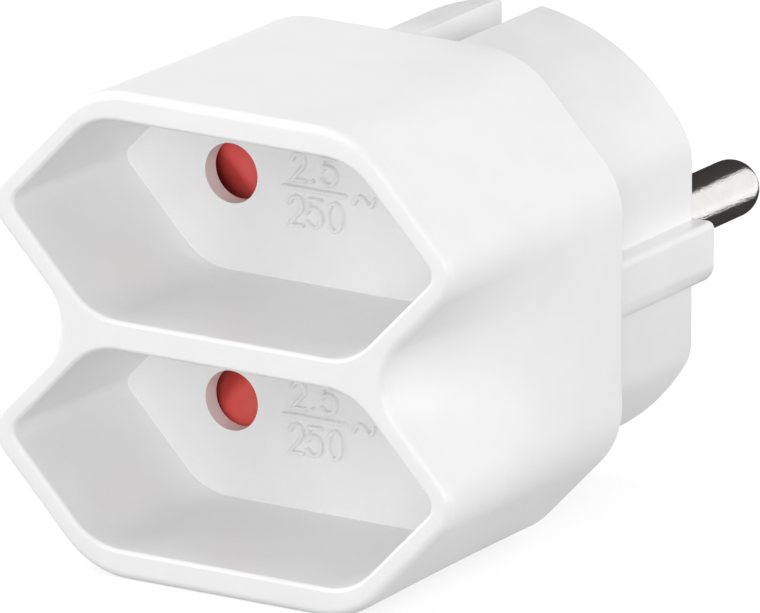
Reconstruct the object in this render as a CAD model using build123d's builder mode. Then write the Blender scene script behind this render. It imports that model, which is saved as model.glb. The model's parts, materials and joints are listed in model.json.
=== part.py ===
"""A double adapter for flat two-pin plugs: two shuttered sockets in front, one round plug behind.

Millimetres. The origin is the middle of the plug's face, between its two pins. The pins point
along +Y, the sockets face -Y, +X is to the right as the sockets are seen, and +Z is up.
"""

import os
from math import cos, hypot, pi, radians, sin, tan

from build123d import *

os.makedirs("parts", exist_ok=True)

# Sockets: where they are and the six-sided recess of each
cross_bar = 2.5
contact_pitch = 19.0
mouth_width = 40.2
mouth_flat = 24.4
mouth_height = 16.5
mouth_point_run = 1.2
mouth_corner_run = 2.4
mouth_round = 0.4
recess_depth = 16.5
recess_draft = 0.7
floor_wall = 1.6
contact_hole_d = 5.0

# Body: the wall outside the recesses, at the front rim and at the rear
rim_side = 1.95
rim_top = 2.5
rear_side_wall = 0.85
rear_slant_wall = 1.35
side_hollow = 0.15
corner_run = 3.4
point_run = 2.9
waist_run = 4.3
fade_steps = 6
rim_band = 1.0
shoulder_band = 2.0
rim_round = 0.8
shoulder_round = 0.6
shell_wall = 2.2
pocket_wall = 1.2
flange_fit = 0.15
flange_thickness = 2.0

# Plug: barrel with flats, guide ribs and earth-clip grooves, and its pins
barrel_length = 18.0
barrel_wall = 2.0
barrel_round = 0.5
flat_cut = 2.2
flat_round = 4.0
rib_width = 5.3
rib_inset = 0.3
rib_round = 0.6
rib_under_round = 1.8
groove_width = 4.0
groove_depth = 4.0
end_wall = 3.0
pin_d = 4.8
pin_length = 19.0
pin_root_d = 5.6
pin_hole_fit = 0.05
pin_collar_d = 6.6
pin_collar = 1.2
pin_tenon_d = 3.0
pin_head_d = 4.4
pin_head = 0.7

# Conductors: one strip for each pole, with a sleeve for each socket
strip_seat = 4.6
strip_width = 5.2
strip_thickness = 0.8
sleeve_bore_d = 4.1
sleeve_wall = 0.55
sleeve_base = 0.8
sleeve_flare = 0.35
sleeve_flare_length = 1.2
sleeve_slot = 0.6
sleeve_room = 0.44
sleeve_mouth_gap = 0.3
rivet_d = 2.0
rivet_head_d = 3.4
rivet_head = 0.5

# Shutters: a rocker for each socket, turning on a post
shutter_gap = 0.25
shutter_depth = 3.4
shutter_lap = 0.3
foot_d = 4.2
foot_out = 2.2
foot_down = 1.35
arm_width = 4.4
arm_depth = 1.6
hub_d = 8.0
post_d = 2.5
post_fit = 0.1
ramp_turn = 45.0
ramp_slope = 32.0
ramp_round = 2.5
crest_offset = 0.9
crest_drop = 0.35
stop_d = 2.0
stop_gap = 0.2

# Return springs: wire coils round the shutter hubs
wire_d = 0.5
wire_sides = 6
coil_room = 0.25
coil_turns = 1.75
coil_pitch = 0.55
moving_leg = 6.0
fixed_leg = 6.5
anchor_rise = 5.5
hub_wall = 0.75
peg_length = 1.0
peg_height = 1.2
peg_gap = 0.4
peg_width = 1.6

# Carrier: the insulating plate behind the shutters, with legs that hold the strips down
carrier_plate = 2.2
carrier_gap = 1.1
carrier_fit = 0.2
carrier_hole_room = 0.2
leg_width = 4.0
leg_height = 2.4
standoff_d = 4.2
standoff_reach = 1.7

# Screw that closes the housing
screw_d = 3.0
screw_fit = 0.2
screw_head_d = 5.6
screw_head = 2.2
screw_recess = 0.8
screw_chamfer = 0.6
screw_slot = 0.9
screw_slot_depth = 1.2
screw_grip = 8.0
tube_length = 12.0
tube_wall = 1.6
boss_gap = 0.2
boss_wall = 1.7
pilot_fit = 0.05
pilot_end = 1.0

# Levels along Y, from the plug's face forward
shoulder_y = -barrel_length
ledge_y = shoulder_y - flange_thickness
carrier_back_y = ledge_y - carrier_gap
carrier_front_y = carrier_back_y - carrier_plate
shutter_back_y = carrier_front_y - shutter_gap
shutter_front_y = shutter_back_y - shutter_depth
floor_back_y = shutter_front_y - shutter_gap
floor_y = floor_back_y - floor_wall
front_y = floor_y - recess_depth
fade_length = shoulder_y - shoulder_band - front_y - rim_band
strip_back_y = -(end_wall + strip_seat)
strip_front_y = strip_back_y - strip_thickness
sleeve_mouth_y = carrier_back_y + sleeve_mouth_gap
screw_seat_y = -(screw_recess + screw_head)
boss_end_y = -(tube_length + boss_gap)
screw_tip_y = boss_end_y - screw_grip

# Places across the part
socket_pitch = mouth_height + cross_bar
socket_rise = socket_pitch / 2
contact_x = contact_pitch / 2
half_height = socket_rise + mouth_height / 2 + rim_top
rear_half_width = mouth_width / 2 + rear_side_wall
sleeve_r = sleeve_bore_d / 2 + sleeve_wall
barrel_inner_r = hypot(contact_x, socket_rise) + sleeve_r + sleeve_room
barrel_r = barrel_inner_r + barrel_wall
flat_x = barrel_r - flat_cut
pad_r = contact_hole_d / 2 + shutter_lap
tube_r = screw_head_d / 2 + screw_fit + tube_wall
boss_r = screw_d / 2 + boss_wall
hub_bore_r = post_d / 2 + post_fit
hub_sleeve_r = hub_bore_r + hub_wall
coil_r = hub_sleeve_r + coil_room + wire_d / 2
anchor_x = wire_d / 2 + coil_room - coil_r + stop_d / 2
foot_x = contact_x + foot_out
stop_z = socket_rise - foot_down - foot_d / 2 - stop_gap - stop_d / 2
coil_front_y = shutter_front_y + arm_depth + coil_room + wire_d / 2
leg_rise = socket_pitch / 4
rows = {"upper": socket_rise, "lower": -socket_rise}
columns = {"left": -contact_x, "right": contact_x}

# The slanted side of a recess: how far it runs in and up from its point
slant_in = (mouth_width - mouth_flat) / 2
slant_up = mouth_height / 2
slant_length = hypot(slant_in, slant_up)


def across(y):
    """The plane across the part at y, as the sockets are seen: an extrusion grows to the front."""
    return Plane.XZ.offset(-y)


def slant_x(wall, rise):
    """Where a wall of this thickness outside a recess's slanted side is, at a rise from its point."""
    return mouth_width / 2 + (wall * slant_length - rise * slant_in) / slant_up


def add_outline(corners):
    """A closed face through corners (x, z, run), each rounded by an arc that starts a run away."""
    count = len(corners)
    points = [Vector(x, z) for x, z, run in corners]
    entries = []
    exits = []
    for i, (x, z, run) in enumerate(corners):
        heading = (points[i] - points[i - 1]).normalized()
        leaving = (points[(i + 1) % count] - points[i]).normalized()
        entries.append((points[i] - heading * run, heading))
        exits.append(points[i] + leaving * run)
    with BuildLine() as outline:
        for i in range(count):
            Line(exits[i - 1], entries[i][0])
            TangentArc(entries[i][0], exits[i], tangent=entries[i][1])
    make_face(outline.edges())


def mirrored(corners):
    """All corners of an outline, from those of its upper right quarter in clockwise order."""
    right = corners + [(x, -z, run) for x, z, run in reversed(corners) if z > 0]
    return right + [(-x, z, run) for x, z, run in reversed(right) if x > 0]


def body_corners(fade):
    """The body's outline: waisted between the sockets at fade 0, flat-sided at fade 1."""
    def blend(front, rear):
        return front + (rear - front) * fade

    top_rise = mouth_height / 2 + rim_top
    point_rear_rise = (rear_slant_wall * slant_length - rear_side_wall * slant_up) / slant_in
    top_x = blend(slant_x(rim_side, top_rise), slant_x(rear_slant_wall, top_rise))
    point_x = blend(slant_x(rim_side, 0), rear_half_width)
    point_z = socket_rise + blend(0, point_rear_rise)
    waist_x = blend(slant_x(rim_side, socket_rise), rear_half_width - side_hollow)
    quarter = [(top_x, half_height, corner_run), (point_x, point_z, point_run), (waist_x, 0, waist_run)]
    return mirrored(quarter)


def mouth_corners(rise):
    """One recess's six corners, with its middle at this rise."""
    point = (mouth_width / 2, 0, mouth_point_run)
    corner = (mouth_flat / 2, mouth_height / 2, mouth_corner_run)
    return [(x, z + rise, run) for x, z, run in mirrored([corner, point])]


# Front housing: the body with both recesses, hollow behind them and open at the rear
with BuildPart() as front_housing:
    with BuildSketch(across(front_y + rim_band)):
        add_outline(body_corners(0))
    extrude(amount=rim_band)
    for step in range(fade_steps + 1):
        share = step / fade_steps
        with BuildSketch(across(front_y + rim_band + fade_length * share)):
            add_outline(body_corners(sin(share * pi / 2)))
    loft(ruled=True)
    with BuildSketch(across(shoulder_y)):
        add_outline(body_corners(1))
    extrude(amount=shoulder_band)
    fillet(front_housing.faces().sort_by(Axis.Y)[0].edges(), rim_round)
    fillet(front_housing.faces().sort_by(Axis.Y)[-1].edges(), shoulder_round)

    with BuildSketch(across(shoulder_y)):
        add_outline(body_corners(1))
        offset(amount=-pocket_wall)
    extrude(amount=flange_thickness, mode=Mode.SUBTRACT)
    with BuildSketch(across(ledge_y)):
        add_outline(body_corners(1))
        offset(amount=-shell_wall)
    extrude(amount=ledge_y - floor_back_y, mode=Mode.SUBTRACT)

    for rise in rows.values():
        with BuildSketch(across(front_y)):
            add_outline(mouth_corners(rise))
        extrude(amount=-recess_depth, taper=recess_draft, mode=Mode.SUBTRACT)
    rims = front_housing.faces().sort_by(Axis.Y)[0].inner_wires()
    fillet([edge for wire in rims for edge in wire.edges()], mouth_round)

    with BuildSketch(across(floor_back_y)):
        with GridLocations(contact_pitch, socket_pitch, 2, 2):
            Circle(contact_hole_d / 2)
    extrude(amount=floor_wall, mode=Mode.SUBTRACT)

    with BuildSketch(across(floor_back_y)):
        with Locations((0, socket_rise)):
            Circle(post_d / 2)
        with Locations((-foot_x, stop_z), (anchor_x, socket_rise + anchor_rise)):
            Circle(stop_d / 2)
        mirror(about=Plane.XZ)
    extrude(amount=floor_back_y - shutter_back_y)
    with BuildSketch(across(floor_back_y)):
        with GridLocations(2 * (rear_half_width - shell_wall - standoff_reach), 1, 2, 1):
            Circle(standoff_d / 2)
        with GridLocations(1, 2 * (half_height - shell_wall - standoff_reach), 1, 2):
            Circle(standoff_d / 2)
    extrude(amount=floor_back_y - carrier_front_y)

    with BuildSketch(across(floor_back_y)):
        Circle(boss_r)
    extrude(amount=floor_back_y - boss_end_y)
    with BuildSketch(across(boss_end_y)):
        Circle(screw_d / 2 + pilot_fit)
    extrude(amount=screw_grip + pilot_end, mode=Mode.SUBTRACT)
front_housing.part.label = "front_housing"
export_step(front_housing.part, "parts/front_housing.step")

# Plug base: the flange that closes the housing, with the hollow round barrel behind it
with BuildPart() as plug_base:
    with BuildSketch(across(shoulder_y)):
        add_outline(body_corners(1))
        offset(amount=-(pocket_wall + flange_fit))
    extrude(amount=flange_thickness)

    with BuildSketch(across(0)) as barrel:
        Circle(barrel_r)
        Rectangle(2 * flat_x, 2 * barrel_r, mode=Mode.INTERSECT)
        fillet(barrel.vertices(), flat_round)
    extrude(amount=barrel_length)
    fillet(plug_base.faces().sort_by(Axis.Y)[-1].edges(), barrel_round)

    with BuildSketch(across(0)) as ribs:
        Rectangle(2 * (barrel_r - rib_inset), rib_width)
        fillet(ribs.vertices().group_by(Axis.Y)[-1], rib_round)
        fillet(ribs.vertices().group_by(Axis.Y)[0], rib_under_round)
    extrude(amount=barrel_length)
    with BuildSketch(across(0)):
        with GridLocations(1, 2 * barrel_r, 1, 2):
            Rectangle(groove_width, 2 * groove_depth)
    extrude(amount=barrel_length, mode=Mode.SUBTRACT)

    with BuildSketch(across(-end_wall)):
        Circle(barrel_inner_r)
        Rectangle(2 * (flat_x - barrel_wall), 2 * barrel_r, mode=Mode.INTERSECT)
        with GridLocations(1, 2 * barrel_r, 1, 2):
            Rectangle(groove_width + 2 * barrel_wall, 2 * (groove_depth + barrel_wall), mode=Mode.SUBTRACT)
    extrude(amount=-end_wall - ledge_y, mode=Mode.SUBTRACT)

    with BuildSketch(across(-end_wall)):
        with GridLocations(contact_pitch, 2 * leg_rise, 2, 2):
            Rectangle(strip_width, leg_height)
    extrude(amount=strip_seat)
    with BuildSketch(across(0)):
        with GridLocations(contact_pitch, 1, 2, 1):
            Circle(pin_root_d / 2 + pin_hole_fit)
    extrude(amount=end_wall, mode=Mode.SUBTRACT)

    with BuildSketch(across(0)):
        Circle(tube_r)
    extrude(amount=tube_length)
    with Locations(-across(0)):
        CounterBoreHole(screw_d / 2 + screw_fit, screw_head_d / 2 + screw_fit, -screw_seat_y)
plug_base.part.label = "plug_base"
export_step(plug_base.part, "parts/plug_base.step")

# Contact carrier: an insulating plate on the standoffs, with legs that press the strips on their seats
with BuildPart() as contact_carrier:
    with BuildSketch(across(carrier_back_y)):
        add_outline(body_corners(1))
        offset(amount=-(shell_wall + carrier_fit))
        with GridLocations(contact_pitch, socket_pitch, 2, 2):
            Circle(contact_hole_d / 2 + carrier_hole_room, mode=Mode.SUBTRACT)
        Circle(boss_r + carrier_fit, mode=Mode.SUBTRACT)
    extrude(amount=carrier_plate)
    with BuildSketch(across(strip_front_y)):
        with GridLocations(contact_pitch, 2 * leg_rise, 2, 2):
            Rectangle(leg_width, leg_height)
    extrude(amount=strip_front_y - carrier_back_y)
contact_carrier.part.label = "contact_carrier"
export_step(contact_carrier.part, "parts/contact_carrier.step")

# Shutters: two pads on a turning arm, each with a ramp down to its foot that a plug's pin pushes aside
with BuildPart() as shutter_upper:
    with BuildSketch(across(shutter_front_y + arm_depth)):
        with Locations((0, socket_rise)):
            Rectangle(contact_pitch, arm_width)
            Circle(hub_d / 2)
    extrude(amount=arm_depth)
    for side in (-1, 1):
        with BuildSketch(across(shutter_back_y)):
            with Locations((side * contact_x, socket_rise)):
                Circle(pad_r)
            with Locations((side * foot_x, socket_rise + side * foot_down)):
                Circle(foot_d / 2)
            make_hull()
        extrude(amount=shutter_depth)

        downhill = Vector(side * sin(radians(ramp_turn)), 0, side * cos(radians(ramp_turn)))
        along_crest = Vector(-downhill.Z, 0, downhill.X)
        pad_front = Vector(side * contact_x, shutter_front_y, socket_rise)
        ramp_run = abs(downhill.X) * foot_out + abs(downhill.Z) * foot_down + foot_d / 2 - crest_offset
        crest = Vector(crest_offset, crest_drop)
        ramp_end = crest + Vector(ramp_run, ramp_run * tan(radians(ramp_slope)))
        with BuildSketch(Plane(pad_front, x_dir=downhill, z_dir=along_crest)):
            with BuildLine():
                FilletPolyline((-pad_r, 0), crest, ramp_end, radius=ramp_round)
                Polyline(ramp_end, (ramp_end.X, 0), (-pad_r, 0))
            make_face()
        extrude(amount=pad_r, both=True, mode=Mode.SUBTRACT)

    with BuildSketch(across(shutter_back_y)):
        with Locations((0, socket_rise)):
            Circle(hub_sleeve_r)
    extrude(amount=shutter_depth)
    with BuildSketch(across(shutter_front_y + arm_depth)):
        peg_top = socket_rise + coil_r - wire_d / 2 - stop_gap
        with Locations((-hub_d / 2 - peg_gap - peg_width / 2, peg_top - peg_height / 2)):
            Rectangle(peg_width, peg_height)
    extrude(amount=-peg_length)
    with BuildSketch(across(shutter_back_y)):
        with Locations((0, socket_rise)):
            Circle(hub_bore_r)
    extrude(amount=shutter_depth, mode=Mode.SUBTRACT)
shutter_upper.part.label = "shutter_upper"
export_step(shutter_upper.part, "parts/shutter_upper.step")

with BuildPart() as shutter_lower:
    mirror(shutter_upper.part, about=Plane.XY)
shutter_lower.part.label = "shutter_lower"
export_step(shutter_lower.part, "parts/shutter_lower.step")

# Shutter springs: one leg pushes the shutter's peg, the other leans on the housing's anchor post
with BuildPart() as shutter_spring_upper:
    with BuildLine() as wire:
        middle = (0, coil_front_y, socket_rise)
        coil = Helix(coil_pitch, coil_pitch * coil_turns, coil_r, center=middle, direction=(0, 1, 0))
        Line(coil @ 0 - (coil % 0) * moving_leg, coil @ 0)
        Line(coil @ 1, coil @ 1 + (coil % 1) * fixed_leg)
    with BuildSketch(Plane(wire.wire() @ 0, z_dir=wire.wire() % 0)):
        RegularPolygon(wire_d / 2, wire_sides)
    sweep(path=wire.wire())
shutter_spring_upper.part.label = "shutter_spring_upper"
export_step(shutter_spring_upper.part, "parts/shutter_spring_upper.step")

with BuildPart() as shutter_spring_lower:
    mirror(shutter_spring_upper.part, about=Plane.XY)
shutter_spring_lower.part.label = "shutter_spring_lower"
export_step(shutter_spring_lower.part, "parts/shutter_spring_lower.step")

# Bus strips: one for each pole, joining both sockets' sleeves to a plug pin
for column, x in columns.items():
    with BuildPart() as bus_strip:
        with BuildSketch(across(strip_back_y)):
            with Locations((x, 0)):
                SlotCenterToCenter(socket_pitch, strip_width, rotation=90)
                Circle(pin_tenon_d / 2, mode=Mode.SUBTRACT)
            with Locations((x, socket_rise), (x, -socket_rise)):
                Circle(rivet_d / 2, mode=Mode.SUBTRACT)
        extrude(amount=strip_thickness)
    bus_strip.part.label = f"bus_strip_{column}"
    export_step(bus_strip.part, f"parts/bus_strip_{column}.step")

# Contact sleeves: slotted tubes with a flared mouth, and the countersunk rivets that hold them on the strips
for row, rise in rows.items():
    for column, x in columns.items():
        sleeve_axis = Axis((x, 0, rise), (0, 1, 0))
        base_front_y = strip_front_y - sleeve_base
        with BuildPart() as contact_sleeve:
            with BuildSketch(Plane.XY.offset(rise)):
                with BuildLine():
                    Polyline(
                        (x + rivet_d / 2, strip_front_y),
                        (x + sleeve_r, strip_front_y),
                        (x + sleeve_r, sleeve_mouth_y + sleeve_flare_length),
                        (x + sleeve_r + sleeve_flare, sleeve_mouth_y),
                        (x + sleeve_r + sleeve_flare - sleeve_wall, sleeve_mouth_y),
                        (x + sleeve_bore_d / 2, sleeve_mouth_y + sleeve_flare_length),
                        (x + sleeve_bore_d / 2, base_front_y),
                        (x + rivet_head_d / 2, base_front_y),
                        (x + rivet_d / 2, base_front_y + rivet_head),
                        close=True,
                    )
                make_face()
            revolve(axis=sleeve_axis)
            with BuildSketch(across(base_front_y - sleeve_base)):
                with Locations((x, rise)):
                    Rectangle(4 * sleeve_r, sleeve_slot)
            extrude(until=Until.LAST, mode=Mode.SUBTRACT)
        contact_sleeve.part.label = f"contact_sleeve_{row}_{column}"
        export_step(contact_sleeve.part, f"parts/contact_sleeve_{row}_{column}.step")

        with BuildPart() as sleeve_rivet:
            with BuildSketch(Plane.XY.offset(rise)):
                with BuildLine():
                    Polyline(
                        (x, base_front_y),
                        (x + rivet_head_d / 2, base_front_y),
                        (x + rivet_d / 2, base_front_y + rivet_head),
                        (x + rivet_d / 2, strip_back_y),
                        (x + rivet_head_d / 2, strip_back_y),
                        (x + rivet_d / 2, strip_back_y + rivet_head),
                        (x, strip_back_y + rivet_head),
                        close=True,
                    )
                make_face()
            revolve(axis=sleeve_axis)
        sleeve_rivet.part.label = f"sleeve_rivet_{row}_{column}"
        export_step(sleeve_rivet.part, f"parts/sleeve_rivet_{row}_{column}.step")

# Plug pins: round-ended, with a thicker root in the end wall, a collar and a tenon headed over the strip
for column, x in columns.items():
    with BuildPart() as plug_pin:
        with BuildSketch(Plane.XY):
            with BuildLine():
                head_front_y = strip_front_y - pin_head
                Polyline(
                    (x, pin_length),
                    (x, head_front_y),
                    (x + pin_head_d / 2, head_front_y),
                    (x + pin_head_d / 2, strip_front_y),
                    (x + pin_tenon_d / 2, strip_front_y),
                    (x + pin_tenon_d / 2, strip_back_y),
                    (x + pin_root_d / 2, strip_back_y),
                    (x + pin_root_d / 2, -end_wall - pin_collar),
                    (x + pin_collar_d / 2, -end_wall - pin_collar),
                    (x + pin_collar_d / 2, -end_wall),
                    (x + pin_root_d / 2, -end_wall),
                    (x + pin_root_d / 2, 0),
                    (x + pin_d / 2, 0),
                    (x + pin_d / 2, pin_length - pin_d / 2),
                )
                RadiusArc((x + pin_d / 2, pin_length - pin_d / 2), (x, pin_length), -pin_d / 2)
            make_face()
        revolve(axis=Axis((x, 0, 0), (0, 1, 0)))
    plug_pin.part.label = f"plug_pin_{column}"
    export_step(plug_pin.part, f"parts/plug_pin_{column}.step")

# Housing screw: sunk in the plug's face, gripping the front housing's boss
with BuildPart() as housing_screw:
    with BuildSketch(Plane.XY):
        with BuildLine():
            Polyline(
                (0, -screw_recess),
                (screw_head_d / 2, -screw_recess),
                (screw_head_d / 2, screw_seat_y),
                (screw_d / 2, screw_seat_y),
                (screw_d / 2, screw_tip_y + screw_d / 2),
                (0, screw_tip_y),
                close=True,
            )
        make_face()
    revolve(axis=Axis.Y)
    with BuildSketch(across(-screw_recess)):
        Rectangle(screw_head_d - 2 * screw_slot, screw_slot)
        Rectangle(screw_slot, screw_head_d - 2 * screw_slot)
    extrude(amount=screw_slot_depth, mode=Mode.SUBTRACT)
    chamfer(housing_screw.faces().sort_by(Axis.Y)[-1].outer_wire().edges(), screw_chamfer)
housing_screw.part.label = "housing_screw"
export_step(housing_screw.part, "parts/housing_screw.step")
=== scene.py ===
"""Studio picture of a white two-way plug adapter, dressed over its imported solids."""

import json
import math

import bpy
from mathutils import Matrix, Vector


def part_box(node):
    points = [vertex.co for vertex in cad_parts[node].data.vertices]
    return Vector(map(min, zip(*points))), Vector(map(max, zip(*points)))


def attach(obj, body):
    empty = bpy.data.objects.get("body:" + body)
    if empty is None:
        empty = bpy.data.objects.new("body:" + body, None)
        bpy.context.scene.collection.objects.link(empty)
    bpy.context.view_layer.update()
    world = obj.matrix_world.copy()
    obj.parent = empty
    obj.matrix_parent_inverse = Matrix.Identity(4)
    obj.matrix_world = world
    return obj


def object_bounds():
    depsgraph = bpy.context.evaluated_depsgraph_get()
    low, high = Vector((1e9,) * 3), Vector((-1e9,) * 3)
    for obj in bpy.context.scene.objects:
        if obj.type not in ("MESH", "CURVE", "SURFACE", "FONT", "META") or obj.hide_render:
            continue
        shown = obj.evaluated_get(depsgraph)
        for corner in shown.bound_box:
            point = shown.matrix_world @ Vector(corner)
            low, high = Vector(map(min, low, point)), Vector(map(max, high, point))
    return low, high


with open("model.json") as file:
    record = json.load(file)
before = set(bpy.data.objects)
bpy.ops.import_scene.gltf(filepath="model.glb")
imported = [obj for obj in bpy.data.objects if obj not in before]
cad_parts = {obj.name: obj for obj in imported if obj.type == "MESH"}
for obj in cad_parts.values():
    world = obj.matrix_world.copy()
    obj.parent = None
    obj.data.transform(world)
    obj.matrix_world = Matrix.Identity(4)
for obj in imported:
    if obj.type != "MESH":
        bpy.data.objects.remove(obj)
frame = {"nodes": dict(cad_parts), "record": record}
cad_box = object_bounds()
nodes = frame["nodes"]

MM = 0.001

# The photograph's frame and the camera that took it, fitted on the adapter's edges.
PHOTO_WIDTH = 760
FOCAL_LENGTH_PX = 23950.7
SENSOR_WIDTH = 36.0
CAMERA_YAW = math.radians(32.280)
CAMERA_RISE = math.radians(16.475)
CAMERA_DISTANCE = 1900.0 * MM
PICTURE_CENTRE = Vector((10.137, -37.611, 3.676)) * MM

# Shading: facets that meet at less than this angle are drawn as one smooth skin.
SMOOTH_ANGLE = math.radians(32.0)
WIRE_SMOOTH_ANGLE = math.radians(75.0)
WELD_DISTANCE = 0.0005 * MM

# Blender's noise hardly leaves this range, so two-tone patterns are spread over it.
NOISE_LOW = 0.3
NOISE_HIGH = 0.7

# The raised rating mark on each recess floor: its strokes' section in mm, and how finely they are drawn.
STROKE_HALF_WIDTH = 0.185
STROKE_SHOULDER_HALF_WIDTH = 0.15
STROKE_TOP_HALF_WIDTH = 0.06
STROKE_SHOULDER = 0.36
STROKE_HEIGHT = 0.46
STROKE_SINK = 0.05
ARC_STEPS = 14
CAP_ANGLES = (30.0, 60.0, 84.0)
MITRE_LIMIT = 0.5

# Studio, in metres; the paper's glow for the camera and the ambient light are shares of white.
FLOOR_HALF_SIDE = 2.5
FLOOR_CORNER_CUT = 0.6
PAPER_LIFT = 0.76
STUDIO_CENTRE = Vector((0.0, -22.0, 0.0)) * MM
SOFTBOX_DISTANCE = 1.2
SOFTBOX_SIDE = 0.6
AMBIENT = 0.2
# Each softbox: its name, azimuth and elevation in degrees, its power in watts, and whether gloss mirrors it.
SOFTBOXES = (
    ("front_right", 32, 17, 2.5, True),
    ("front_low", 20, 5, 5.1, True),
    ("front_high", -20, 50, 1.1, True),
    ("front_left", -50, 15, 4.4, True),
    ("left", -75, 15, 2.7, True),
    ("upper_left", -90, 50, 3.0, True),
    ("top", 0, 75, 0.7, True),
    ("right_front", 60, 15, 1.7, True),
    ("right", 90, 15, 2.3, True),
    ("right_behind", 130, 20, 4.3, False),
    ("behind", 180, 40, 1.8, False),
    ("behind_low", 180, 8, 4.0, False),
)
# The dark card in a plane behind the pins, in mm: a fan about the right-hand pin's axis, with the angles that
# it spans there, in degrees from the right towards the top. In the gap, that pin mirrors the white room.
CARD_Y = 25.0
CARD_REACH = 45.0
CARD_STEPS = 16
CARD_START = 69.0
CARD_END = 332.0


def linear(hex_colour):
    """Turn an sRGB hex colour into the linear colour that shader sockets take."""
    channels = [int(hex_colour[i:i + 2], 16) / 255 for i in (1, 3, 5)]
    return [c / 12.92 if c <= 0.04045 else ((c + 0.055) / 1.055) ** 2.4 for c in channels] + [1.0]


def add_node(tree, kind, sockets=None, **settings):
    """Add one node: settings go on the node, sockets take values or other nodes' outputs."""
    added = tree.nodes.new(kind)
    for name, value in settings.items():
        setattr(added, name, value)
    for name, value in (sockets or {}).items():
        if isinstance(value, bpy.types.NodeSocket):
            tree.links.new(value, added.inputs[name])
        else:
            added.inputs[name].default_value = value
    return added


def new_material(name):
    """An empty node material and its node tree."""
    material = bpy.data.materials.new(name)
    material.use_nodes = True
    tree = material.node_tree
    tree.nodes.clear()
    return material, tree


# Materials


def two_tones(tree, noise, low_colour, high_colour):
    """A colour that wanders between two tones with a noise."""
    ramp = add_node(tree, "ShaderNodeValToRGB", {"Fac": noise})
    low, high = ramp.color_ramp.elements
    low.position, low.color = NOISE_LOW, linear(low_colour)
    high.position, high.color = NOISE_HIGH, linear(high_colour)
    return ramp.outputs["Color"]


def wander(tree, noise, low, high):
    """A value that wanders between two limits with a noise."""
    spread = add_node(tree, "ShaderNodeMapRange", {
        "Value": noise, "From Min": NOISE_LOW, "From Max": NOISE_HIGH, "To Min": low, "To Max": high})
    return spread.outputs["Result"]


def seen_straight(tree):
    """1 where the camera looks, in mirrors and through clear things too, and 0 for diffuse light."""
    path = add_node(tree, "ShaderNodeLightPath")
    mirror = add_node(tree, "ShaderNodeMath", {
        0: path.outputs["Is Camera Ray"], 1: path.outputs["Is Glossy Ray"]}, operation="MAXIMUM")
    seen = add_node(tree, "ShaderNodeMath", {
        0: mirror.outputs["Value"], 1: path.outputs["Is Transmission Ray"]}, operation="MAXIMUM")
    return seen.outputs["Value"]


def moulded_white_polycarbonate():
    """Satin housing plastic: even white, soft broad highlights and a faint skin waviness.

    The recess floors come from a spark-eroded part of the mould, so they show a fine matt grain.
    """
    waviness = 5.0 * MM
    skin_grain = 0.25 * MM
    floor_grain = 0.32 * MM
    floor_front = -29.6 * MM
    floor_back = -28.6 * MM
    turned_away = -0.8
    square_on = -0.98
    material, tree = new_material("moulded_white_polycarbonate")
    place = add_node(tree, "ShaderNodeTexCoord")
    clouds = add_node(tree, "ShaderNodeTexNoise", {
        "Vector": place.outputs["Object"], "Scale": 1 / waviness, "Detail": 3.0, "Roughness": 0.55})
    tint = two_tones(tree, clouds.outputs["Fac"], "#F0F0F0", "#F3F3F3")
    # How much of a recess floor this point is: it faces the front and lies deep in the housing.
    facing = add_node(tree, "ShaderNodeSeparateXYZ", {"Vector": place.outputs["Normal"]})
    depth = add_node(tree, "ShaderNodeSeparateXYZ", {"Vector": place.outputs["Object"]})
    faces_front = add_node(tree, "ShaderNodeMapRange", {
        "Value": facing.outputs["Y"], "From Min": turned_away, "From Max": square_on})
    lies_deep = add_node(tree, "ShaderNodeMapRange", {
        "Value": depth.outputs["Y"], "From Min": floor_front, "From Max": floor_back})
    on_floor = add_node(tree, "ShaderNodeMath", {
        0: faces_front.outputs["Result"], 1: lies_deep.outputs["Result"]}, operation="MULTIPLY")
    gloss = wander(tree, clouds.outputs["Fac"], 0.30, 0.40)
    matt = add_node(tree, "ShaderNodeMapRange", {
        "Value": on_floor.outputs["Value"], "To Min": gloss, "To Max": 0.55})
    coarse = add_node(tree, "ShaderNodeTexNoise", {
        "Vector": place.outputs["Object"], "Scale": 1 / floor_grain, "Detail": 2.0, "Roughness": 0.6})
    fine = add_node(tree, "ShaderNodeTexNoise", {
        "Vector": place.outputs["Object"], "Scale": 1 / skin_grain, "Detail": 1.0})
    grain_depth = add_node(tree, "ShaderNodeMapRange", {
        "Value": on_floor.outputs["Value"], "To Min": 0.0, "To Max": 0.35})
    waves = add_node(tree, "ShaderNodeBump", {
        "Height": clouds.outputs["Fac"], "Strength": 0.12, "Distance": 0.15 * MM})
    skin = add_node(tree, "ShaderNodeBump", {
        "Height": fine.outputs["Fac"], "Strength": 0.10, "Distance": 0.02 * MM,
        "Normal": waves.outputs["Normal"]})
    grain = add_node(tree, "ShaderNodeBump", {
        "Height": coarse.outputs["Fac"], "Strength": grain_depth.outputs["Result"], "Distance": 0.08 * MM,
        "Normal": skin.outputs["Normal"]})
    surface = add_node(tree, "ShaderNodeBsdfPrincipled", {
        "Base Color": tint, "Roughness": matt.outputs["Result"], "IOR": 1.58,
        "Normal": grain.outputs["Normal"]})
    add_node(tree, "ShaderNodeOutputMaterial", {"Surface": surface.outputs["BSDF"]})
    return material


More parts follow.
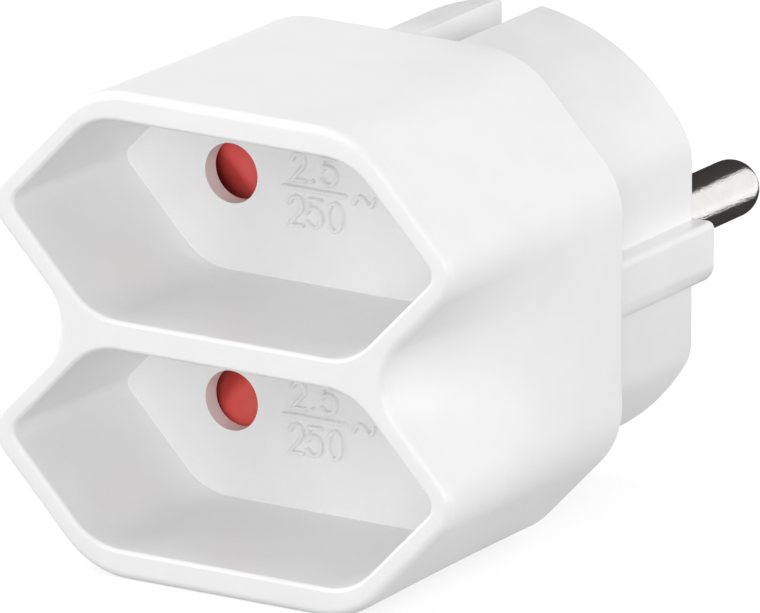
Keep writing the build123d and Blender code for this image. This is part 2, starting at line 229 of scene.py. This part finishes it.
def moulded_red_polyamide():
    """Shutters and contact carrier: warning red, satin, a little blotchy where the melt met the mould."""
    blotches = 1.6 * MM
    grain_size = 0.16 * MM
    material, tree = new_material("moulded_red_polyamide")
    place = add_node(tree, "ShaderNodeTexCoord")
    melt = add_node(tree, "ShaderNodeTexNoise", {
        "Vector": place.outputs["Object"], "Scale": 1 / blotches, "Detail": 3.0, "Roughness": 0.6})
    tint = two_tones(tree, melt.outputs["Fac"], "#E3534D", "#EC5E58")
    gloss = wander(tree, melt.outputs["Fac"], 0.34, 0.48)
    grain = add_node(tree, "ShaderNodeTexNoise", {
        "Vector": place.outputs["Object"], "Scale": 1 / grain_size, "Detail": 2.0})
    skin = add_node(tree, "ShaderNodeBump", {
        "Height": grain.outputs["Fac"], "Strength": 0.18, "Distance": 0.05 * MM})
    surface = add_node(tree, "ShaderNodeBsdfPrincipled", {
        "Base Color": tint, "Roughness": gloss, "IOR": 1.53,
        "Normal": skin.outputs["Normal"]})
    add_node(tree, "ShaderNodeOutputMaterial", {"Surface": surface.outputs["BSDF"]})
    return material


def drawn_nickel_plated_brass():
    """Plug pins: drawn rod, bright plated, a mirror in which edges of light and dark look frayed."""
    streak_width = 0.20 * MM
    streak_length = 0.7 * MM
    smear = 2.5 * MM
    material, tree = new_material("drawn_nickel_plated_brass")
    place = add_node(tree, "ShaderNodeTexCoord")
    stretch = add_node(tree, "ShaderNodeMapping", {
        "Vector": place.outputs["Object"],
        "Scale": (1 / streak_width, 1 / streak_length, 1 / streak_width)})
    streaks = add_node(tree, "ShaderNodeTexNoise", {
        "Vector": stretch.outputs["Vector"], "Scale": 1.0, "Detail": 3.0, "Roughness": 0.65})
    smears = add_node(tree, "ShaderNodeTexNoise", {
        "Vector": place.outputs["Object"], "Scale": 1 / smear, "Detail": 4.0, "Roughness": 0.6})
    tint = two_tones(tree, smears.outputs["Fac"], "#EAE8E5", "#F3F2F0")
    gloss = wander(tree, smears.outputs["Fac"], 0.10, 0.18)
    drawing = add_node(tree, "ShaderNodeBump", {
        "Height": streaks.outputs["Fac"], "Strength": 0.6, "Distance": 0.05 * MM})
    surface = add_node(tree, "ShaderNodeBsdfPrincipled", {
        "Base Color": tint, "Metallic": 1.0, "Roughness": gloss,
        "Normal": drawing.outputs["Normal"]})
    add_node(tree, "ShaderNodeOutputMaterial", {"Surface": surface.outputs["BSDF"]})
    return material


def stamped_brass():
    """Strips, sleeves and rivets: rolled sheet, yellow, with drawn-out rolling streaks."""
    streak_length = 6.0 * MM
    streak_width = 0.25 * MM
    material, tree = new_material("stamped_brass")
    place = add_node(tree, "ShaderNodeTexCoord")
    stretch = add_node(tree, "ShaderNodeMapping", {
        "Vector": place.outputs["Object"],
        "Scale": (1 / streak_width, 1 / streak_width, 1 / streak_length)})
    streaks = add_node(tree, "ShaderNodeTexNoise", {
        "Vector": stretch.outputs["Vector"], "Scale": 1.0, "Detail": 3.0, "Roughness": 0.6})
    tint = two_tones(tree, streaks.outputs["Fac"], "#B8934C", "#D2B067")
    gloss = wander(tree, streaks.outputs["Fac"], 0.24, 0.40)
    rolling = add_node(tree, "ShaderNodeBump", {
        "Height": streaks.outputs["Fac"], "Strength": 0.15, "Distance": 0.02 * MM})
    surface = add_node(tree, "ShaderNodeBsdfPrincipled", {
        "Base Color": tint, "Metallic": 1.0, "Roughness": gloss,
        "Normal": rolling.outputs["Normal"]})
    add_node(tree, "ShaderNodeOutputMaterial", {"Surface": surface.outputs["BSDF"]})
    return material


def zinc_plated_steel():
    """Springs and screw: bright bluish zinc over steel, uneven in gloss, with tiny pits."""
    patch = 0.9 * MM
    pit = 0.12 * MM
    material, tree = new_material("zinc_plated_steel")
    place = add_node(tree, "ShaderNodeTexCoord")
    patches = add_node(tree, "ShaderNodeTexNoise", {
        "Vector": place.outputs["Object"], "Scale": 1 / patch, "Detail": 4.0, "Roughness": 0.65})
    tint = two_tones(tree, patches.outputs["Fac"], "#A9ADB2", "#C4C7CA")
    gloss = wander(tree, patches.outputs["Fac"], 0.22, 0.42)
    pits = add_node(tree, "ShaderNodeTexVoronoi", {"Vector": place.outputs["Object"], "Scale": 1 / pit})
    skin = add_node(tree, "ShaderNodeBump", {
        "Height": pits.outputs["Distance"], "Strength": 0.08, "Distance": 0.02 * MM})
    surface = add_node(tree, "ShaderNodeBsdfPrincipled", {
        "Base Color": tint, "Metallic": 1.0, "Roughness": gloss,
        "Normal": skin.outputs["Normal"]})
    add_node(tree, "ShaderNodeOutputMaterial", {"Surface": surface.outputs["BSDF"]})
    return material


def matt_paper_sweep():
    """Studio floor: matt paper, white to the camera, that throws little light up and keeps the shadow."""
    fibre = 3.0 * MM
    material, tree = new_material("matt_paper_sweep")
    place = add_node(tree, "ShaderNodeTexCoord")
    fibres = add_node(tree, "ShaderNodeTexNoise", {
        "Vector": place.outputs["Object"], "Scale": 1 / fibre, "Detail": 2.0})
    tint = add_node(tree, "ShaderNodeValToRGB", {"Fac": fibres.outputs["Fac"]})
    tint.color_ramp.elements[0].color = linear("#9C9C9C")
    tint.color_ramp.elements[1].color = linear("#A4A4A4")
    paper = add_node(tree, "ShaderNodeBsdfDiffuse", {"Color": tint.outputs["Color"]})
    lift = add_node(tree, "ShaderNodeMapRange", {
        "Value": seen_straight(tree), "To Min": 0.0, "To Max": PAPER_LIFT})
    glow = add_node(tree, "ShaderNodeEmission", {
        "Color": linear("#FFFFFF"), "Strength": lift.outputs["Result"]})
    white = add_node(tree, "ShaderNodeAddShader", {0: paper.outputs["BSDF"], 1: glow.outputs["Emission"]})
    add_node(tree, "ShaderNodeOutputMaterial", {"Surface": white.outputs["Shader"]})
    return material


def dark_card():
    """Studio card: matt dark grey, there only for the bright metal to mirror."""
    material, tree = new_material("dark_card")
    surface = add_node(tree, "ShaderNodeBsdfDiffuse", {"Color": linear("#4A4745"), "Roughness": 1.0})
    add_node(tree, "ShaderNodeOutputMaterial", {"Surface": surface.outputs["BSDF"]})
    return material


# The solids' skins


def one_skin_group():
    """Node group that joins a solid's faces into one skin and keeps only its true edges sharp."""
    tree = bpy.data.node_groups.new("one_skin", "GeometryNodeTree")
    tree.interface.new_socket("Geometry", in_out="INPUT", socket_type="NodeSocketGeometry")
    tree.interface.new_socket("Smooth Angle", in_out="INPUT", socket_type="NodeSocketFloat")
    tree.interface.new_socket("Geometry", in_out="OUTPUT", socket_type="NodeSocketGeometry")
    given = add_node(tree, "NodeGroupInput")
    welded = add_node(tree, "GeometryNodeMergeByDistance", {
        "Geometry": given.outputs["Geometry"], "Distance": WELD_DISTANCE})
    plain = add_node(tree, "GeometryNodeRemoveAttribute", {
        "Geometry": welded.outputs["Geometry"], "Name": "custom_normal"})
    fold = add_node(tree, "GeometryNodeInputMeshEdgeAngle")
    blunt = add_node(tree, "FunctionNodeCompare", {
        "A": fold.outputs["Unsigned Angle"], "B": given.outputs["Smooth Angle"]},
        data_type="FLOAT", operation="LESS_THAN")
    faces = add_node(tree, "GeometryNodeSetShadeSmooth", {
        "Geometry": plain.outputs["Geometry"], "Shade Smooth": True}, domain="FACE")
    edges = add_node(tree, "GeometryNodeSetShadeSmooth", {
        "Geometry": faces.outputs["Geometry"], "Shade Smooth": blunt.outputs["Result"]}, domain="EDGE")
    add_node(tree, "NodeGroupOutput", {"Geometry": edges.outputs["Geometry"]})
    return tree


def dress(node_name, material, smooth_angle=SMOOTH_ANGLE):
    """Give a solid its material and one smooth skin; its mesh stays as it was packed."""
    solid = nodes[node_name]
    solid.data.materials.clear()
    solid.data.materials.append(material)
    skin = solid.modifiers.new("one_skin", "NODES")
    skin.node_group = one_skin
    skin["Socket_1"] = smooth_angle
    weighting = solid.modifiers.new("flat_faces_stay_flat", "WEIGHTED_NORMAL")
    weighting.mode = "FACE_AREA"
    weighting.keep_sharp = True


# The raised rating mark


def arc(centre, radii, start, end):
    """Points along part of an ellipse, from one angle to another in degrees."""
    angles = [math.radians(start + (end - start) * i / ARC_STEPS) for i in range(ARC_STEPS + 1)]
    return [(centre[0] + radii[0] * math.cos(a), centre[1] + radii[1] * math.sin(a)) for a in angles]


def in_box(points, left, bottom, right, top):
    """Scale points drawn in a unit box to a box on the recess floor."""
    return [(left + (right - left) * u, bottom + (top - bottom) * v) for u, v in points]


TWO = arc((0.5, 0.70), (0.48, 0.30), 165, -38) + [(0.02, 0.0), (1.0, 0.0)]
FIVE = [(0.92, 1.0), (0.16, 1.0), (0.07, 0.56)] + arc((0.44, 0.35), (0.52, 0.35), 128, -150)
NOUGHT = arc((0.5, 0.5), (0.5, 0.5), 90, 450)[:-1]
DOT = [(0.48, 0.5), (0.52, 0.5)]
TILDE = [(0.0, 0.1), (0.06, 0.5), (0.15, 0.86), (0.27, 1.0), (0.40, 0.9), (0.52, 0.6), (0.62, 0.3),
         (0.71, 0.08), (0.80, 0.0), (0.89, 0.14), (0.95, 0.5), (1.0, 0.9)]
BAR = [(0.0, 0.0), (1.0, 0.0)]

# Each stroke of the mark: its line, its box in mm from the socket's middle, and whether it closes.
RATING_STROKES = (
    (TWO, (-3.58, 0.45, -2.42, 2.65), False),
    (DOT, (-1.76, 0.48, -1.60, 0.64), False),
    (FIVE, (-0.78, 0.45, 0.61, 2.65), False),
    (BAR, (-4.42, -0.2, 1.36, -0.2), False),
    (TWO, (-3.84, -3.3, -2.62, -0.95), False),
    (FIVE, (-2.14, -3.3, -0.78, -0.95), False),
    (NOUGHT, (-0.20, -3.3, 1.06, -0.95), True),
    (TILDE, (2.24, -0.72, 4.18, -0.02), False),
)


def stroke_rings(points, closed):
    """Rings across a stroke: centre, sideways direction and width share at each, with round ends."""
    count = len(points)
    line = [Vector(p) for p in points]
    rings = []
    for i, here in enumerate(line):
        before = line[i - 1] if closed or i > 0 else here
        after = line[(i + 1) % count] if closed or i < count - 1 else here
        into = (here - before).normalized() if before != here else (after - here).normalized()
        out = (after - here).normalized() if after != here else into
        along = (into + out).normalized()
        mitre = 1 / max(MITRE_LIMIT, along.dot(out))
        rings.append((here, Vector((-along.y, along.x)), mitre))
    if closed:
        return rings
    first_along = (line[1] - line[0]).normalized()
    last_along = (line[-1] - line[-2]).normalized()
    head, tail = [], []
    for degrees in CAP_ANGLES:
        reach = STROKE_HALF_WIDTH * math.sin(math.radians(degrees))
        share = math.cos(math.radians(degrees))
        head.insert(0, (line[0] - first_along * reach, rings[0][1], share))
        tail.append((line[-1] + last_along * reach, rings[-1][1], share))
    return head + rings + tail


def add_stroke(points, closed, place, vertices, faces):
    """Add one raised stroke, a low ridge with sloping sides, to a mesh's lists."""
    section = (
        (-STROKE_HALF_WIDTH, -STROKE_SINK),
        (-STROKE_SHOULDER_HALF_WIDTH, STROKE_SHOULDER),
        (-STROKE_TOP_HALF_WIDTH, STROKE_HEIGHT),
        (STROKE_TOP_HALF_WIDTH, STROKE_HEIGHT),
        (STROKE_SHOULDER_HALF_WIDTH, STROKE_SHOULDER),
        (STROKE_HALF_WIDTH, -STROKE_SINK),
    )
    rings = stroke_rings(points, closed)
    first = len(vertices)
    across = len(section)
    for centre, sideways, share in rings:
        for offset, height in section:
            spot = centre + sideways * (offset * share)
            vertices.append(place(spot.x, spot.y, height))
    spans = len(rings) if closed else len(rings) - 1
    for i in range(spans):
        here = first + i * across
        there = first + ((i + 1) % len(rings)) * across
        for j in range(across):
            k = (j + 1) % across
            faces.append((here + j, here + k, there + k, there + j))
    if not closed:
        faces.append(tuple(first + j for j in reversed(range(across))))
        faces.append(tuple(first + spans * across + j for j in range(across)))


def rating_mark(row, socket_z, floor_y, material):
    """The moulded rating figures of one socket, standing on its recess floor."""
    vertices, faces = [], []

    def place(x, z, height):
        return Vector((x * MM, floor_y - height * MM, socket_z + z * MM))

    for line, box, closed in RATING_STROKES:
        add_stroke(in_box(line, *box), closed, place, vertices, faces)
    mesh = bpy.data.meshes.new("rating_mark_" + row)
    mesh.from_pydata(vertices, [], faces)
    mesh.validate()
    mesh.materials.append(material)
    mark = bpy.data.objects.new("rating_mark_" + row, mesh)
    bpy.context.scene.collection.objects.link(mark)
    mesh.shade_smooth()
    mesh.set_sharp_from_angle(angle=SMOOTH_ANGLE)
    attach(mark, "housing")


# Dress the solids

white = moulded_white_polycarbonate()
red = moulded_red_polyamide()
nickel = drawn_nickel_plated_brass()
brass = stamped_brass()
steel = zinc_plated_steel()
one_skin = one_skin_group()

dress("front_housing", white)
dress("plug_base", white)
dress("contact_carrier", red)
dress("housing_screw", steel)
for side in ("left", "right"):
    dress("plug_pin_" + side, nickel)
    dress("bus_strip_" + side, brass)
for row in ("upper", "lower"):
    dress("shutter_" + row, red)
    dress("shutter_spring_" + row, steel, WIRE_SMOOTH_ANGLE)
    for side in ("left", "right"):
        dress("contact_sleeve_%s_%s" % (row, side), brass)
        dress("sleeve_rivet_%s_%s" % (row, side), brass)

# Each socket's left-hand hole runs through its recess floor, so its mount tells where both are.
mounts = {mount["name"]: mount for mount in frame["record"]["mounts"]}
for row in ("upper", "lower"):
    entry = mounts["socket_%s_left_entry" % row]
    recess_floor = entry["pos_m"][1] - entry["dims"]["length_mm"] / 2 * MM
    rating_mark(row, entry["pos_m"][2], recess_floor, white)


# Studio


def studio_floor():
    """A pale sheet with cut corners under the adapter."""
    level = cad_box[0][2]
    near = FLOOR_HALF_SIDE - FLOOR_CORNER_CUT
    far = FLOOR_HALF_SIDE
    rim = [(near, far), (-near, far), (-far, near), (-far, -near),
           (-near, -far), (near, -far), (far, -near), (far, near)]
    mesh = bpy.data.meshes.new("studio_floor")
    mesh.from_pydata([(x, y, level) for x, y in rim], [], [tuple(range(len(rim)))])
    mesh.materials.append(matt_paper_sweep())
    floor = bpy.data.objects.new("studio_floor", mesh)
    bpy.context.scene.collection.objects.link(floor)


def softbox(name, azimuth, elevation, power, mirrored):
    """A square area light round the adapter: azimuth 0 is the front, 90 its right, 180 behind."""
    lamp = bpy.data.lights.new(name, "AREA")
    lamp.shape = "SQUARE"
    lamp.size = SOFTBOX_SIDE
    lamp.energy = power
    light = bpy.data.objects.new(name, lamp)
    turn, rise = math.radians(azimuth), math.radians(elevation)
    away = Vector((math.sin(turn) * math.cos(rise), -math.cos(turn) * math.cos(rise), math.sin(rise)))
    light.location = STUDIO_CENTRE + away * SOFTBOX_DISTANCE
    light.rotation_euler = away.to_track_quat("Z", "Y").to_euler()
    light.visible_camera = False
    light.visible_glossy = mirrored
    bpy.context.scene.collection.objects.link(light)


def pin_card():
    """A dark card close behind the pins, seen by no light or camera: the bright metal mirrors it."""
    low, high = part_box("plug_pin_right")
    centre = Vector(((low.x + high.x) / 2, CARD_Y * MM, (low.z + high.z) / 2))
    span = CARD_END - CARD_START
    angles = [math.radians(CARD_START + span * i / CARD_STEPS) for i in range(CARD_STEPS + 1)]
    rim = [centre + Vector((math.cos(a), 0.0, math.sin(a))) * (CARD_REACH * MM) for a in angles]
    mesh = bpy.data.meshes.new("pin_card")
    mesh.from_pydata([centre] + rim, [], [(0, i, i + 1) for i in range(1, len(rim))])
    mesh.materials.append(dark_card())
    card = bpy.data.objects.new("pin_card", mesh)
    bpy.context.scene.collection.objects.link(card)
    card.visible_camera = False
    card.visible_diffuse = False
    card.visible_shadow = False
    card.visible_transmission = False


def studio_world():
    """White for the camera, for mirrors and through clear things; a soft grey for diffuse light."""
    world = bpy.data.worlds.new("studio")
    bpy.context.scene.world = world
    world.use_nodes = True
    tree = world.node_tree
    tree.nodes.clear()
    strength = add_node(tree, "ShaderNodeMapRange", {
        "Value": seen_straight(tree), "To Min": AMBIENT, "To Max": 1.0})
    sky = add_node(tree, "ShaderNodeBackground", {
        "Color": linear("#FFFFFF"), "Strength": strength.outputs["Result"]})
    add_node(tree, "ShaderNodeOutputWorld", {"Surface": sky.outputs["Background"]})


def photo_camera():
    """The photograph's camera: a long lens from the front right, a little above."""
    camera = bpy.data.cameras.new("photo_camera")
    camera.sensor_width = SENSOR_WIDTH
    camera.lens = FOCAL_LENGTH_PX * SENSOR_WIDTH / PHOTO_WIDTH
    right = Vector((math.cos(CAMERA_YAW), math.sin(CAMERA_YAW), 0.0))
    ahead = Vector((-math.sin(CAMERA_YAW) * math.cos(CAMERA_RISE),
                    math.cos(CAMERA_YAW) * math.cos(CAMERA_RISE), -math.sin(CAMERA_RISE)))
    up = right.cross(ahead)
    turn = Matrix((right, up, -ahead)).transposed().to_4x4()
    holder = bpy.data.objects.new("photo_camera", camera)
    holder.matrix_world = Matrix.Translation(PICTURE_CENTRE - ahead * CAMERA_DISTANCE) @ turn
    bpy.context.scene.collection.objects.link(holder)
    bpy.context.scene.camera = holder


studio_floor()
studio_world()
for settings in SOFTBOXES:
    softbox(*settings)
pin_card()
photo_camera()
bpy.context.scene.view_settings.view_transform = "Standard"
